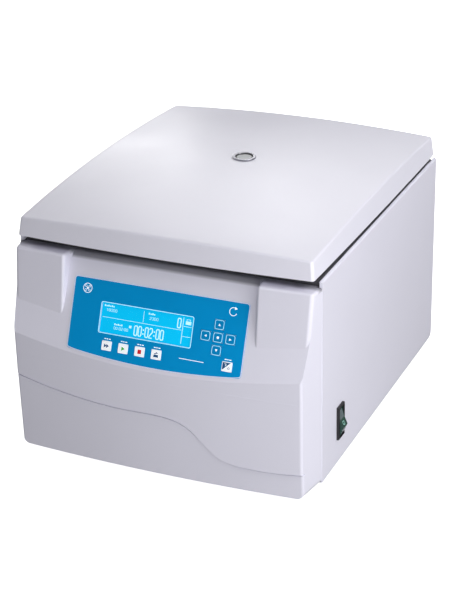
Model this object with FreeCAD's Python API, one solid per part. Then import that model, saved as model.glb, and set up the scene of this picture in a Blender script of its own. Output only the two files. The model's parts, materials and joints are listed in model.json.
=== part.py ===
"""Bench laboratory centrifuge.

Millimetres, +Z up, front facing -Y, origin on the floor under the middle of the machine.
The rotor turns about the vertical line x = 0, y = SPIN_Y.
"""
import FreeCAD
import Part
import math
import os

V = FreeCAD.Vector
UP = (0, 0, 1)
ALONG_X = (1, 0, 0)
ALONG_Y = (0, 1, 0)

# ---- enclosure ----
HALF_W = 215.0             # outer faces of the side panels
SEAM_Y = -207.9            # front moulding meets the side panels
REAR_Y = 259.2             # outer face of the rear panel
FLOOR_Z = 12.0             # underside of the base plate
SIDE_TOP = 301.5
SHEET = 2.0
HEM = 4.0                  # thickness of the folded top edge of the side panels
HEM_LOW = 293.5
HEM_R = 3.0
WALL = 3.0                 # moulded plastic wall
SKIRT_H = 18.0             # upturned edge of the base plate

# ---- front moulding ----
FRONT_HALF = 206.5         # half width at the front corners
SEAM_HALF = 214.5          # half width at the seam
CORNER_Y = -258.0          # face at the front corners
CHEEK_TAPER = (SEAM_HALF - FRONT_HALF) / (SEAM_Y - CORNER_Y)
BOW = 8.0                  # how far the middle stands ahead of the corners
FRONT_BOTTOM = 10.0
FRONT_TOP = 293.0
STEP_DEPTH = 0.8           # setback of the lower face under the styling step
GROOVE_W = 2.6             # shadow groove under the styling step
GROOVE_DEPTH = 1.6
LEAN = 0.03                # setback per millimetre down on the lower face
STEP_Z = 118.0
LEAN_TOP = 150.0
CORNER_R = 4.5
FOOT_CORNER_R = 10.0
STEP_CURVE = [(-216, 122), (-163, 111.5), (-106, 104), (-43, 100.8), (14, 100.8), (40, 95.2),
              (65, 77), (92, 53.5), (135, 45.4), (177, 46), (216, 50)]

# ---- control slope ----
SLOPE_LEAN = 22.5          # degrees from upright
SLOPE_Z = 182.1            # height where the slope meets the front corners
SLOPE_TOP_R = 9.0
EAR_INNER = 136.9
EAR_INNER_BACK = 134.6
EAR_LEAN = 0.166
EAR_TURN = 0.036
EAR_Y = -240.8             # ear face at x = EAR_X, z = EAR_Z
EAR_X = 206.0
EAR_Z = 224.0
EAR_LOW = 200.0
LIP_BACK = -203.0          # rear end of the lip under the lid's front edge
LIP_HALF = 208.0

# ---- control overlay, in slope coordinates (x, s up the slope) ----
OVERLAY_HALF = 125.0
OVERLAY_T = 0.6
OVERLAY_TOP = 88.5
OVERLAY_CORNER = -7.5
OVERLAY_MID = -16.0
WINDOW = (-81.5, 50.0, 19.7, 59.3)
WINDOW_T = 1.8
KEY_H = 12.5
KEY_GAP = 0.3
KEY_PROUD = 0.5
KEY_POCKET = 1.0
KEY_POST_R = 2.2
KEYS = {
    "key_fast": (-67.4, 3.2, 14.0),
    "key_start": (-43.4, 3.2, 14.0),
    "key_stop": (-19.4, 3.2, 14.0),
    "key_lid": (4.5, 3.2, 14.0),
    "key_up": (86.8, 55.8, 13.5),
    "key_left": (69.5, 39.2, 13.5),
    "key_set": (86.8, 39.2, 13.5),
    "key_right": (104.1, 39.2, 13.5),
    "key_down": (86.8, 22.6, 13.5),
    "key_back": (104.1, 4.3, 14.0),
}
BOARD_DEPTH = 12.0         # control board, below the slope's outer face
BOARD_T = 1.6
SWITCH_TOP = 8.1           # top of the tact switches, below the slope's outer face

# ---- lid ----
LID_LOW_Z = 301.0
LID_WIDE_Z = 307.7
LID_RIM_Z = 331.0
LID_LOFT_Z = 352.0
# front half width, front corner y, front middle y, side middle half width, back half width, back y
LID_LOW = (202.0, -208.0, -215.2, 204.9, 204.5, 251.9)
LID_WIDE = (209.5, -223.4, -230.6, 212.4, 212.4, 256.9)
LID_RIM = (206.8, -219.7, -228.1, 210.0, 206.9, 263.0)
LID_SIDE_MID_Y = 30.0
LID_BACK_BOW = 1.0
LID_CORNER_R = 4.5
DOME_R = 3190.0
DOME_TOP = 348.0
DOME_Y = 22.0
LID_EDGE_R = 3.0
LINER_T = 2.0
LID_BOSS_R = 6.0           # screw bosses between the cover and the liner
LID_BOSS_X = 185.0
LID_BOSS_Y = (-190, 20, 225)
PORT_R = 14.0              # hole in the lid under the window ring
PORT_RING_R = 16.6
PORT_GLASS_R = 12.5
PORT_SEAT = 0.6            # depth the window ring is let into the dome
PORT_COLLAR_H = 2.6

# ---- hinge ----
HINGE_Y = 262.0
HINGE_Z = 304.0
HINGE_R = 4.0
HINGE_PIN_R = 1.8
HINGE_X = 150.0
HINGE_HALF = 25.0
KNUCKLE_HALF = 10.0

# ---- lid lock ----
LOCK_Z = 284.0             # height of the bolt's axis
BOLT_R = 4.0
LOCK_BACK = -150.0         # solenoid meets the housing

# ---- chamber ----
SPIN_Y = 50.0
MOUTH_R = 152.0
BOWL_OUT = 152.0
BOWL_T = 1.5
BOWL_RIM_R = 162.0
BOWL_RIM_Z = 290.0
BOWL_FLOOR = 118.0
BOWL_CORNER_R = 25.0
BOWL_NECK_R = 26.0
BOWL_NECK_Z = 128.0
GUARD_R = 164.0
GUARD_T = 4.0
DECK_TOP = 299.0
DECK_LEDGE = 292.0
DECK_SKIN = 296.0

# ---- drive ----
MOTOR_R = 52.0
MOTOR_Z = 34.0
MOTOR_TOP = 104.0
BOSS_R = 20.0
BOSS_TOP = 114.0
SHAFT_R = 6.0
SHAFT_TOP = 222.0
FIT = 0.05                 # radial clearance of running fits

# ---- swing-out rotor ----
YOKE_R = 84.0
YOKE_LOW = 193.0
YOKE_HIGH = 217.0
TRUNNION_R = 62.0          # radius of the trunnion axes about the spindle
TRUNNION_Z = 205.0
SLOT_HALF = 24.0
SLOT_INNER = 33.0
PIN_R = 4.0
PIN_IN = 20.6
BUCKET_R = 21.0
BUCKET_BORE = 18.5
BUCKET_UP = 14.0
BUCKET_DOWN = 72.0
BUCKET_FLOOR = 3.0
BOSS_REACH = 23.6
BUCKETS = 4

# ---- mains rocker switch on the right side ----
SWITCH_Y = -144.0
SWITCH_Z = 72.5
BEZEL_W = 22.0
BEZEL_H = 48.0
BEZEL_PROUD = 4.0
WELL_W = 18.0
WELL_H = 44.6
ROCKER_HALF = 8.7
ROCKER_PIVOT_X = 207.0
# profile (x, height above the pivot)
ROCKER = [(206.0, -18.5), (219.0, -18.5), (223.5, -7.0), (219.2, 2.5), (215.5, 18.5), (206.0, 18.5)]

# ---- rear fittings ----
FAN_X = -140.0
FAN_Z = 190.0
FAN_SIDE = 80.0
FAN_DEPTH = 25.0
FAN_BORE = 38.0
INLET_X = 130.0
INLET_Z = 60.0
FUSE_Z = 95.0
FUSE_X = (118.0, 142.0)
FUSE_HOLE_R = 6.5
FOOT_X = 175.0
FOOT_Y = (-165.0, 215.0)
PLUG_Y = -160.0
PLUG_Z = 250.0


# ---------------------------------------------------------------- helpers
def box(x0, x1, y0, y1, z0, z1):
    return Part.makeBox(x1 - x0, y1 - y0, z1 - z0, V(x0, y0, z0))


def cyl(radius, base, axis, length):
    return Part.makeCylinder(radius, length, V(*base), V(*axis))


def ring(outer, inner, base, axis, length):
    return cyl(outer, base, axis, length).cut(cyl(inner, base, axis, length))


def fuse(shapes):
    return shapes[0].multiFuse(shapes[1:]).removeSplitter()


def cut(shape, tools):
    return shape.cut(Part.makeCompound(tools)).removeSplitter()


def mirror_x(shape):
    return shape.mirror(V(0, 0, 0), V(1, 0, 0))


def both_sides(shape):
    return [shape, mirror_x(shape)]


def lines_through(points):
    return [Part.makeLine(a, b) for a, b in zip(points, points[1:])]


def plate(points):
    vectors = [V(*point) for point in points]
    return Part.Face(Part.makePolygon(vectors + [vectors[0]]))


def rounded(shape, radius, wanted):
    """Fillet the edges of a shape that the test accepts, given each edge's bounding box."""
    return shape.makeFillet(radius, [edge for edge in shape.Edges if wanted(edge.BoundBox)])


def upright(bounds):
    return bounds.ZLength > 0.5 and bounds.XLength < 0.01 and bounds.YLength < 0.01


def revolve(points):
    """Solid of revolution about the spindle axis from (radius, z) points."""
    face = plate([(radius, 0, z) for radius, z in points])
    solid = face.revolve(V(0, 0, 0), V(0, 0, 1), 360)
    solid.translate(V(0, SPIN_Y, 0))
    return solid


def export(name, shapes):
    """Write one sub-part's STEP file, which has one solid for each shape given."""
    solids = [solid for shape in shapes for solid in shape.Solids]
    if len(solids) != len(shapes):
        raise ValueError(name + " came out as " + str(len(solids)) + " solids")
    for solid in solids:
        if not solid.isValid() or solid.Volume <= 0:
            raise ValueError(name + " holds a solid that isn't valid")
    shape = solids[0] if len(solids) == 1 else Part.makeCompound(solids)
    shape.exportStep("parts/" + name + ".step")
    print(name, len(solids), "solids", round(shape.Volume / 1000, 1), "cm3")


# ---------------------------------------------------------------- front moulding
def on_slope(shape):
    """Take a shape from slope coordinates (x, s up the slope, n outwards) to the machine."""
    moved = shape.copy()
    moved.rotate(V(0, 0, 0), V(1, 0, 0), 90 - SLOPE_LEAN)
    moved.translate(V(0, CORNER_Y, SLOPE_Z))
    return moved


def ahead_of_slope(depth):
    return on_slope(box(-300, 300, -400, 400, -depth, 200))


def front_plan(inset, set_back, z, back_y):
    """Plan of the front moulding: bowed front, sides widening towards the seam."""
    front = CORNER_Y + set_back + inset
    half_front = FRONT_HALF + CHEEK_TAPER * (front - CORNER_Y) - inset
    half_back = SEAM_HALF + CHEEK_TAPER * (back_y - SEAM_Y) - inset
    left = V(-half_front, front, z)
    right = V(half_front, front, z)
    far_right = V(half_back, back_y, z)
    far_left = V(-half_back, back_y, z)
    arc = Part.Arc(left, V(0, front - BOW, z), right).toShape()
    sides = lines_through([right, far_right, far_left, left])
    return Part.Face(Part.Wire([arc] + sides))


def plan_prism(inset, low, high):
    solid = front_plan(inset, 0, low, SEAM_Y + inset * 3).extrude(V(0, 0, high - low))
    return rounded(solid, CORNER_R - inset, lambda b: upright(b) and b.YMax < CORNER_Y + 20)


def leaning_prism(inset, low):
    """Lower part of the front moulding, its face leaning back downwards."""
    outlines = []
    for z in (low, LEAN_TOP):
        set_back = STEP_DEPTH + LEAN * (STEP_Z - z)
        outlines.append(front_plan(inset, set_back, z, SEAM_Y + inset * 3).OuterWire)
    solid = Part.makeLoft(outlines, True, True)
    return rounded(solid, CORNER_R - inset, lambda b: b.ZLength > 50 and b.YMax < CORNER_Y + 20)


def above_step(lift):
    """Everything above the S-shaped styling step."""
    points = [V(x, -320, z + lift) for x, z in STEP_CURVE]
    curve = Part.BSplineCurve()
    curve.interpolate(points)
    top_right = V(points[-1].x, -320, 400)
    top_left = V(points[0].x, -320, 400)
    lines = lines_through([points[-1], top_right, top_left, points[0]])
    return Part.Face(Part.Wire([curve.toShape()] + lines)).extrude(V(0, 200, 0))


def step_groove():
    """Narrow band under the styling step, as deep as the groove, on the front face only."""
    band = above_step(-GROOVE_W).cut(above_step(0))
    band = band.common(box(-300, 300, -400, CORNER_Y + CORNER_R + 2, 0, 200))
    return band.cut(leaning_prism(GROOVE_DEPTH, FRONT_BOTTOM - 1))


def ear_face(x, z):
    return EAR_Y - EAR_TURN * (EAR_X - x) + EAR_LEAN * (z - EAR_Z)


def right_ear(inset):
    """Raised corner block, its face leaning back; the sides come from the moulding's plan."""
    top = FRONT_TOP - inset
    inner = EAR_INNER + inset
    outer = HALF_W + 5
    back = SEAM_Y - 4 + inset
    face = plate([(inner, ear_face(inner, EAR_LOW) + inset, EAR_LOW),
                  (outer, ear_face(outer, EAR_LOW) + inset, EAR_LOW),
                  (outer, back, EAR_LOW),
                  (EAR_INNER_BACK + inset, back, EAR_LOW)])
    height = top - EAR_LOW
    solid = face.extrude(V(0, EAR_LEAN * height, height))
    solid = solid.common(plan_prism(inset, EAR_LOW - 1, top))
    if inset:
        return solid
    solid = rounded(solid, 6.0, lambda b: b.ZLength > 50 and b.XMin > 200 and b.YMax < SEAM_Y - 15)
    solid = rounded(solid, 4.0, lambda b: b.ZLength > 50 and b.XMax < 145 and b.YMax < SEAM_Y - 15)
    return rounded(solid, 4.0, lambda b: b.ZMin > top - 0.1 and b.YMin < ear_face(EAR_INNER, top) + 15)


def slope_top_sliver():
    """What rounding the edge between the slope and the lip takes away."""
    lean = math.radians(SLOPE_LEAN)
    edge_y = CORNER_Y + (FRONT_TOP - SLOPE_Z) * math.tan(lean)
    reach = SLOPE_TOP_R * math.tan((math.pi / 2 - lean) / 2)
    centre = (edge_y + reach, FRONT_TOP - SLOPE_TOP_R)
    kite = plate([(-300, edge_y, FRONT_TOP), (-300, edge_y + reach, FRONT_TOP), (-300, centre[0], centre[1]),
                  (-300, edge_y - reach * math.sin(lean), FRONT_TOP - reach * math.cos(lean))])
    return kite.extrude(V(600, 0, 0)).cut(cyl(SLOPE_TOP_R, (-301, centre[0], centre[1]), ALONG_X, 602))


def foot_corner_sliver():
    """What rounding the right cheek's bottom edge takes away."""
    radius = FOOT_CORNER_R
    block = box(-radius, 20, -40, 100, -5, radius)
    sliver = block.cut(cyl(radius, (-radius, -41, radius), ALONG_Y, 142))
    sliver.rotate(V(0, 0, 0), V(0, 0, 1), -math.degrees(math.atan(CHEEK_TAPER)))
    sliver.translate(V(FRONT_HALF, CORNER_Y, FRONT_BOTTOM))
    return sliver


def key_openings(depth_low, depth_high, margin):
    tools = []
    for x, s, width in KEYS.values():
        half = width / 2 + margin
        tall = KEY_H / 2 + margin
        tools.append(on_slope(box(x - half, x + half, s - tall, s + tall, depth_low, depth_high)))
    return tools


def front_panel():
    outer = plan_prism(0, FRONT_BOTTOM, FRONT_TOP).common(above_step(0))
    outer = outer.fuse(leaning_prism(0, FRONT_BOTTOM)).cut(ahead_of_slope(0))
    outer = outer.cut(slope_top_sliver())
    ear = right_ear(0)
    outer = fuse([cut(outer, both_sides(foot_corner_sliver())), ear, mirror_x(ear)])
    room = plan_prism(WALL, FRONT_BOTTOM + WALL, FRONT_TOP - WALL).common(above_step(6))
    room = room.fuse(leaning_prism(WALL, FRONT_BOTTOM + WALL)).cut(ahead_of_slope(WALL))
    ear_room = right_ear(WALL)
    room = fuse([room, ear_room, mirror_x(ear_room)])
    shell = outer.cut(room)
    lip = box(-LIP_HALF, LIP_HALF, SEAM_Y - 1, LIP_BACK, FRONT_TOP - WALL, FRONT_TOP)
    lip = lip.cut(slope_top_sliver())
    tabs = both_sides(box(HALF_W - 4, HALF_W - SHEET, SEAM_Y - 2, SEAM_Y + 12, 40, 280))
    pegs = []
    for x in (-118, -60, 60, 119):
        for s in (-2, 82):
            pegs.append(on_slope(cyl(3.5, (x, s, -BOARD_DEPTH), UP, BOARD_DEPTH - WALL / 2)))
    shell = fuse([shell, lip] + tabs + pegs)
    x0, x1, s0, s1 = WINDOW
    tools = [on_slope(box(x0, x1, s0, s1, -10, 5)), step_groove()]
    tools += key_openings(-KEY_POCKET, 5, KEY_GAP)
    for x, s, width in KEYS.values():
        tools.append(on_slope(cyl(KEY_POST_R + 0.5, (x, s, -10), UP, 12)))
    return cut(shell, tools)


def control_overlay():
    left = V(-OVERLAY_HALF, OVERLAY_CORNER, 0)
    right = V(OVERLAY_HALF, OVERLAY_CORNER, 0)
    top_right = V(OVERLAY_HALF, OVERLAY_TOP, 0)
    top_left = V(-OVERLAY_HALF, OVERLAY_TOP, 0)
    arc = Part.Arc(left, V(0, OVERLAY_MID, 0), right).toShape()
    lines = lines_through([right, top_right, top_left, left])
    film = Part.Face(Part.Wire([arc] + lines)).extrude(V(0, 0, OVERLAY_T))
    film = rounded(film, 4.5, upright)
    x0, x1, s0, s1 = WINDOW
    film = on_slope(film).cut(on_slope(box(x0, x1, s0, s1, -1, 2)))
    return cut(film, key_openings(-1, 2, KEY_GAP))


def display_window():
    x0, x1, s0, s1 = WINDOW
    return on_slope(box(x0, x1, s0, s1, OVERLAY_T - WINDOW_T, OVERLAY_T))


def display_module():
    x0, x1, s0, s1 = WINDOW
    glass = box(x0 + 1, x1 - 1, s0 + 1, s1 - 1, -6, OVERLAY_T - WINDOW_T)
    frame = box(x0 - 5, x1 + 5, s0 - 5, s1 + 5, -BOARD_DEPTH, -4)
    return on_slope(glass.fuse(frame).removeSplitter())


def control_board():
    board = box(-123, 123, -7, 87, -BOARD_DEPTH - BOARD_T, -BOARD_DEPTH)
    parts = [board]
    for x, s, width in KEYS.values():
        parts.append(box(x - 3, x + 3, s - 3, s + 3, -BOARD_DEPTH, -SWITCH_TOP - 0.8))
        parts.append(cyl(1.7, (x, s, -SWITCH_TOP - 0.8), UP, 0.8))
    parts.append(box(-110, -70, 66, 80, -BOARD_DEPTH - BOARD_T - 8, -BOARD_DEPTH - BOARD_T))
    parts.append(box(-40, -12, 20, 48, -BOARD_DEPTH - BOARD_T - 3, -BOARD_DEPTH - BOARD_T))
    return on_slope(fuse(parts))


def key(x, s, width):
    pad = box(x - width / 2, x + width / 2, s - KEY_H / 2, s + KEY_H / 2, 0, OVERLAY_T + KEY_PROUD)
    pad = rounded(pad, 1.5, upright)
    pad = rounded(pad, 0.35, lambda b: b.ZMin > OVERLAY_T + KEY_PROUD - 0.01)
    post = cyl(KEY_POST_R, (x, s, -SWITCH_TOP + 0.9), UP, SWITCH_TOP - 0.8)
    return on_slope(pad.fuse(post).removeSplitter())


# ---------------------------------------------------------------- enclosure sheets
def side_panel():
    """Right side panel: folded top edge, bottom rear corner rounded."""
    panel = box(HALF_W - SHEET, HALF_W, SEAM_Y, REAR_Y, FLOOR_Z, SIDE_TOP)
    panel = rounded(panel, 8.0, lambda b: b.XLength > 1 and b.YMin > REAR_Y - 1 and b.ZMax < FLOOR_Z + 1)
    hem = box(HALF_W - HEM, HALF_W, SEAM_Y, REAR_Y, HEM_LOW, SIDE_TOP)
    panel = panel.fuse(hem).removeSplitter()
    return rounded(panel, HEM_R,
                   lambda b: b.YLength > 300 and b.XMin > HALF_W - 0.1 and b.ZMin > SIDE_TOP - 1)


def side_panel_right():
    half_w = WELL_W / 2 + 1.2
    half_h = WELL_H / 2 + 1.0
    hole = box(HALF_W - 5, HALF_W + 5, SWITCH_Y - half_w, SWITCH_Y + half_w,
               SWITCH_Z - half_h, SWITCH_Z + half_h)
    return side_panel().cut(hole)


def side_panel_left():
    hole = cyl(5.0, (-HALF_W - 5, PLUG_Y, PLUG_Z), ALONG_X, 20)
    return mirror_x(side_panel()).cut(hole)


def release_plug():
    """Push-in plug over the emergency lid release."""
    stem = cyl(5.0, (-HALF_W - 0.5, PLUG_Y, PLUG_Z), ALONG_X, 6)
    cap = cyl(9.0, (-HALF_W - 3.0, PLUG_Y, PLUG_Z), ALONG_X, 3.0)
    cap = rounded(cap, 1.0, lambda b: b.XMax < -HALF_W - 2)
    return cap.fuse(stem).removeSplitter()


def rear_panel():
    half = HALF_W - SHEET
    panel = box(-half, half, REAR_Y - SHEET, REAR_Y, FLOOR_Z + 2, HEM_LOW)
    top = box(HEM - HALF_W, HALF_W - HEM, REAR_Y - SHEET, REAR_Y, HEM_LOW - 1, DECK_TOP - 1)
    panel = panel.fuse(top).removeSplitter()
    low = REAR_Y - 10
    tools = []
    tools.append(box(INLET_X - 14, INLET_X + 14, low, REAR_Y + 5, INLET_Z - 10.5, INLET_Z + 10.5))
    for x in FUSE_X:
        tools.append(cyl(FUSE_HOLE_R, (x, low, FUSE_Z), ALONG_Y, 20))
    for row in range(-3, 4):
        for column in range(-3, 4):
            x = FAN_X + column * 10.5
            z = FAN_Z + row * 10.5
            if math.hypot(x - FAN_X, z - FAN_Z) < FAN_BORE - 3:
                tools.append(box(x - 3.9, x + 3.9, low, REAR_Y + 5, z - 3.9, z + 3.9))
    for row in range(9):
        z = 150 + row * 9
        tools.append(box(100, 170, low, REAR_Y + 5, z, z + 4))
    return cut(panel, tools)


def base_plate():
    half = HALF_W - SHEET
    back = REAR_Y - SHEET
    floor = box(-half, half, SEAM_Y, back, FLOOR_Z, FLOOR_Z + SHEET)
    walls = both_sides(box(half - SHEET, half, SEAM_Y + 14, back, FLOOR_Z, FLOOR_Z + SKIRT_H))
    walls.append(box(-half, half, back - SHEET, back, FLOOR_Z, FLOOR_Z + SKIRT_H))
    tools = []
    for x in range(-60, 61, 12):
        tools.append(box(x - 2.5, x + 2.5, -185, -135, 0, 30))
    return cut(fuse([floor] + walls), tools)


def feet():
    shapes = []
    for x in (-FOOT_X, FOOT_X):
        for y in FOOT_Y:
            foot = Part.makeCone(14, 17, FLOOR_Z, V(x, y, 0), V(0, 0, 1))
            shapes.append(rounded(foot, 1.5, lambda b: b.ZMax < 0.1))
    return shapes


def top_deck():
    half = HALF_W - SHEET
    back = REAR_Y - SHEET
    deck = box(-LIP_HALF, LIP_HALF, LIP_BACK, back, DECK_LEDGE, DECK_TOP)
    ledge = box(-half, half, LIP_BACK, back, DECK_LEDGE, HEM_LOW)
    deck = rounded(deck.fuse(ledge).removeSplitter(), 1.5,
                   lambda b: b.YLength > 300 and b.ZMin > DECK_TOP - 0.1)
    hollow = box(-LIP_HALF + 2, LIP_HALF - 2, LIP_BACK + 3, back - 3, DECK_LEDGE - 1, DECK_SKIN)
    hollow = hollow.cut(cyl(BOWL_RIM_R + 6, (0, SPIN_Y, 200), UP, 200))
    hollow = hollow.cut(box(-40, 40, LIP_BACK, -148, 200, 400))
    tools = [hollow,
             cyl(MOUTH_R, (0, SPIN_Y, 200), UP, 200),
             cyl(BOWL_RIM_R + 1, (0, SPIN_Y, 200), UP, DECK_SKIN - 200),
             box(-20, 20, -198, -181, 200, 400)]
    skirts = both_sides(box(half - SHEET, half, LIP_BACK + 12, back - 30, 276, DECK_LEDGE + 1))
    return cut(fuse([deck] + skirts), tools)


# ---------------------------------------------------------------- chamber and drive
def chamber_bowl():
    bend = BOWL_CORNER_R
    inner = BOWL_OUT - BOWL_T
    low = BOWL_FLOOR - BOWL_T
    turn = math.sqrt(0.5)

    def line(a, b):
        return Part.makeLine(V(a[0], 0, a[1]), V(b[0], 0, b[1]))

    def arc(a, m, b):
        return Part.Arc(V(a[0], 0, a[1]), V(m[0], 0, m[1]), V(b[0], 0, b[1])).toShape()

    centre = (inner - bend, BOWL_FLOOR + bend)
    outer_bend = bend + BOWL_T
    rim_top = BOWL_RIM_Z + BOWL_T
    neck_out = BOWL_NECK_R + BOWL_T
    path = [
        line((BOWL_RIM_R, BOWL_RIM_Z), (BOWL_RIM_R, rim_top)),
        line((BOWL_RIM_R, rim_top), (inner, rim_top)),
        line((inner, rim_top), (inner, centre[1])),
        arc((inner, centre[1]), (centre[0] + bend * turn, centre[1] - bend * turn), (centre[0], BOWL_FLOOR)),
        line((centre[0], BOWL_FLOOR), (neck_out, BOWL_FLOOR)),
        line((neck_out, BOWL_FLOOR), (neck_out, BOWL_NECK_Z)),
        line((neck_out, BOWL_NECK_Z), (BOWL_NECK_R, BOWL_NECK_Z)),
        line((BOWL_NECK_R, BOWL_NECK_Z), (BOWL_NECK_R, low)),
        line((BOWL_NECK_R, low), (centre[0], low)),
        arc((centre[0], low), (centre[0] + outer_bend * turn, centre[1] - outer_bend * turn),
            (BOWL_OUT, centre[1])),
        line((BOWL_OUT, centre[1]), (BOWL_OUT, BOWL_RIM_Z)),
        line((BOWL_OUT, BOWL_RIM_Z), (BOWL_RIM_R, BOWL_RIM_Z)),
    ]
    bowl = Part.Face(Part.Wire(path)).revolve(V(0, 0, 0), V(0, 0, 1), 360)
    bowl.translate(V(0, SPIN_Y, 0))
    return bowl


def bowl_seal():
    low = BOWL_RIM_Z + BOWL_T
    return ring(BOWL_RIM_R, MOUTH_R, (0, SPIN_Y, low), UP, DECK_SKIN - low)


def guard_ring():
    low = FLOOR_Z + SHEET
    barrel = ring(GUARD_R, GUARD_R - GUARD_T, (0, SPIN_Y, low), UP, BOWL_RIM_Z - low)
    tools = []
    for turn in range(4):
        window = box(100, 200, -40, 40, 34, 100)
        window.rotate(V(0, 0, 0), V(0, 0, 1), 45 + 90 * turn)
        window.translate(V(0, SPIN_Y, 0))
        tools.append(window)
    return cut(barrel, tools)


def motor_housing():
    body = cyl(MOTOR_R, (0, SPIN_Y, MOTOR_Z), UP, MOTOR_TOP - MOTOR_Z)
    body = rounded(body, 4.0, lambda b: b.ZMin > MOTOR_TOP - 1)
    boss = cyl(BOSS_R, (0, SPIN_Y, MOTOR_TOP - 1), UP, BOSS_TOP - MOTOR_TOP + 1)
    bore = cyl(SHAFT_R + FIT, (0, SPIN_Y, MOTOR_Z + 2), UP, 200)
    return cut(body.fuse(boss), [bore])


def shaft_boot():
    """Rubber bellows between the motor boss and the bowl's neck."""
    return revolve([(BOSS_R, 106), (BOSS_R + 2.5, 106), (BOSS_R + 2.5, 113), (BOWL_NECK_R, 118),
                    (BOWL_NECK_R, 127), (BOWL_NECK_R - 2.5, 127), (BOWL_NECK_R - 2.5, 119), (BOSS_R, 114)])


def motor_shaft():
    shaft = cyl(SHAFT_R, (0, SPIN_Y, MOTOR_Z + 2.5), UP, SHAFT_TOP - MOTOR_Z - 2.5)
    collar = cyl(10.0, (0, SPIN_Y, YOKE_LOW - 14), UP, 14)
    return shaft.fuse(collar).removeSplitter()


def motor_bracket():
    disc = cyl(78.0, (0, SPIN_Y, MOTOR_Z - 6), UP, 6)
    return rounded(disc, 1.5, lambda b: b.ZMin > MOTOR_Z - 0.1)


def motor_mounts():
    low = FLOOR_Z + SHEET
    shapes = []
    for turn in range(3):
        angle = math.radians(90 + 120 * turn)
        x = 62 * math.cos(angle)
        y = SPIN_Y + 62 * math.sin(angle)
        shapes.append(cyl(11.0, (x, y, low), UP, MOTOR_Z - 6 - low))
    return shapes


# ---------------------------------------------------------------- rotor
def spun(shape, turn):
    """Place a shape made about the Z axis at the spindle, turned by whole bucket places."""
    moved = shape.copy()
    moved.rotate(V(0, 0, 0), V(0, 0, 1), 360 / BUCKETS * turn)
    moved.translate(V(0, SPIN_Y, 0))
    return moved


def rotor_yoke():
    height = YOKE_HIGH - YOKE_LOW
    body = cyl(YOKE_R, (0, 0, YOKE_LOW), UP, height)
    body = rounded(body, 3.0, lambda b: b.XLength > 100)
    slots = []
    for turn in range(BUCKETS):
        slot = box(SLOT_INNER, YOKE_R + 20, -SLOT_HALF, SLOT_HALF, YOKE_LOW - 5, YOKE_HIGH + 5)
        slot.rotate(V(0, 0, 0), V(0, 0, 1), 360 / BUCKETS * turn)
        slots.append(slot)
    body = cut(body, slots)
    pins = []
    for turn in range(BUCKETS):
        for side in (-1, 1):
            pin = cyl(PIN_R, (TRUNNION_R, side * PIN_IN, TRUNNION_Z), (0, side, 0), SLOT_HALF - PIN_IN + 4)
            pin.rotate(V(0, 0, 0), V(0, 0, 1), 360 / BUCKETS * turn)
            pins.append(pin)
    body = fuse([body] + pins)
    body = body.cut(cyl(SHAFT_R, (0, 0, YOKE_LOW - 5), UP, height + 10))
    return spun(body, 0)


def rotor_nut():
    nut = cyl(15.0, (0, SPIN_Y, YOKE_HIGH), UP, 12)
    nut = rounded(nut, 3.0, lambda b: b.ZMin > YOKE_HIGH + 11)
    notches = []
    for turn in range(8):
        angle = math.radians(45 * turn)
        notches.append(cyl(2.5, (16 * math.cos(angle), SPIN_Y + 16 * math.sin(angle), YOKE_HIGH - 1), UP, 20))
    bore = cyl(SHAFT_R, (0, SPIN_Y, YOKE_HIGH - 1), UP, SHAFT_TOP - YOKE_HIGH + 1)
    return cut(nut, notches + [bore])


def bucket(turn):
    low = TRUNNION_Z - BUCKET_DOWN
    high = TRUNNION_Z + BUCKET_UP
    body = cyl(BUCKET_R, (TRUNNION_R, 0, low), UP, high - low)
    body = rounded(body, 6.0, lambda b: b.ZMax < low + 0.1)
    bosses = cyl(9.5, (TRUNNION_R, -BOSS_REACH, TRUNNION_Z), ALONG_Y, 2 * BOSS_REACH)
    bore = cyl(BUCKET_BORE, (TRUNNION_R, 0, low + BUCKET_FLOOR), UP, 200)
    holes = []
    for side in (-1, 1):
        start = (TRUNNION_R, side * (PIN_IN - 0.4), TRUNNION_Z)
        holes.append(cyl(PIN_R + FIT, start, (0, side, 0), 10))
    return spun(cut(body.fuse(bosses), [bore] + holes), turn)


# ---------------------------------------------------------------- lid
def lid_sizes(z):
    """Outline dimensions of the lid at a height: straight lines between and beyond the stated levels."""
    if z <= LID_WIDE_Z:
        low, high, z0, z1 = LID_LOW, LID_WIDE, LID_LOW_Z, LID_WIDE_Z
    else:
        low, high, z0, z1 = LID_WIDE, LID_RIM, LID_WIDE_Z, LID_RIM_Z
    part = (z - z0) / (z1 - z0)
    return [a + (b - a) * part for a, b in zip(low, high)]


def fresh_arcs(wire):
    """The same closed wire of circular arcs, drawn again so that its ends meet exactly."""
    points = [vertex.Point for vertex in wire.OrderedVertexes]
    arcs = []
    for index, edge in enumerate(wire.OrderedEdges):
        middle = edge.valueAt((edge.FirstParameter + edge.LastParameter) / 2)
        arcs.append(Part.Arc(points[index], middle, points[(index + 1) % len(points)]).toShape())
    return Part.Wire(arcs)


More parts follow.
